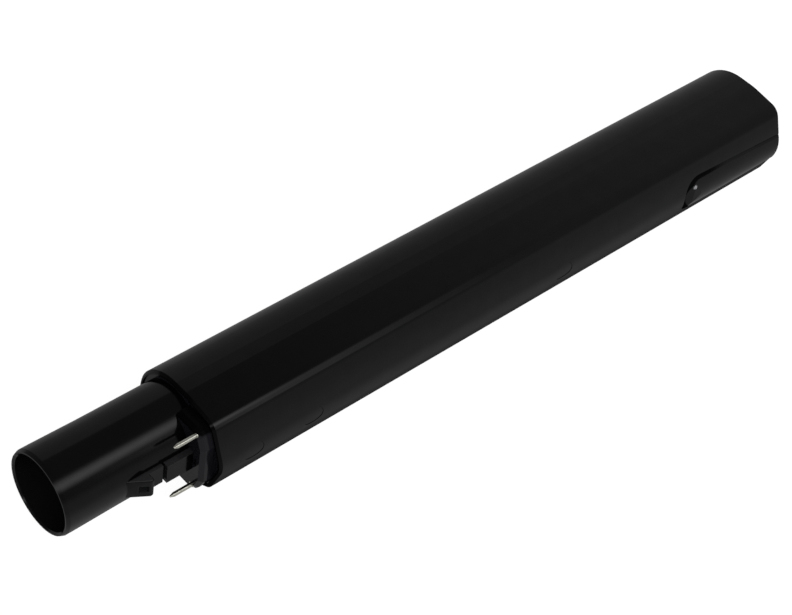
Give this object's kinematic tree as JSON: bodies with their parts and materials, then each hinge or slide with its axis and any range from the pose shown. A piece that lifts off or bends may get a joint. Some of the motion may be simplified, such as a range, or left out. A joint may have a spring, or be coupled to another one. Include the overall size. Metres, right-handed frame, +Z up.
{
  "type": "vacuum extension wand",
  "caption": "Black plastic vacuum extension wand: round spigot with catch and contact pins, a flat-sided sheath that holds the wires, and a socket end with a sprung release lever.",
  "frame": {"origin": "centre of the spigot's mouth, on the air tube's axis", "axes": "+X along the wand from the spigot's mouth to the socket end, +Z up with the wand lying on a flat side of its sheath, -Y the back with the contacts and the release lever"},
  "size_m": [0.3805, 0.0502, 0.0414],
  "materials": {
    "sheath_plastic": "glossy moulded black",
    "tube_plastic": "smooth moulded black",
    "block_plastic": "satin moulded black",
    "contact_nickel": "nickel plated",
    "contact_brass": "plain",
    "steel": "bright",
    "wire_jacket": "soft vinyl",
    "shrink_sleeve": "shrunk tubing"
  },
  "bodies": {
    "wand": {"outer_sheath": "sheath_plastic", "air_tube": "tube_plastic", "pin_block": "block_plastic", "socket_cuff": "block_plastic", "lever_pivot_pin": "steel", "lever_spring": "steel", "sheath_screws": "steel", "screw_plugs": "sheath_plastic", "contact_pin_upper": "contact_nickel", "contact_receptacle_upper": "contact_brass", "wire_upper": "wire_jacket", "pin_sleeve_upper": "shrink_sleeve", "receptacle_sleeve_upper": "shrink_sleeve", "contact_pin_lower": "contact_nickel", "contact_receptacle_lower": "contact_brass", "wire_lower": "wire_jacket", "pin_sleeve_lower": "shrink_sleeve", "receptacle_sleeve_lower": "shrink_sleeve"},
    "release_lever": {"release_lever": "sheath_plastic"}
  },
  "joints": [
    {"name": "release_lever_pivot", "type": "hinge", "parent": "wand", "child": "release_lever", "pos_m": [0.339, -0.0224, 0], "axis": [0, 0, -1], "range_deg": [0, 6], "stiffness_Nm_per_rad": 0.5, "springref_deg": -5.73, "deforming": ["lever_spring"]}
  ]
}
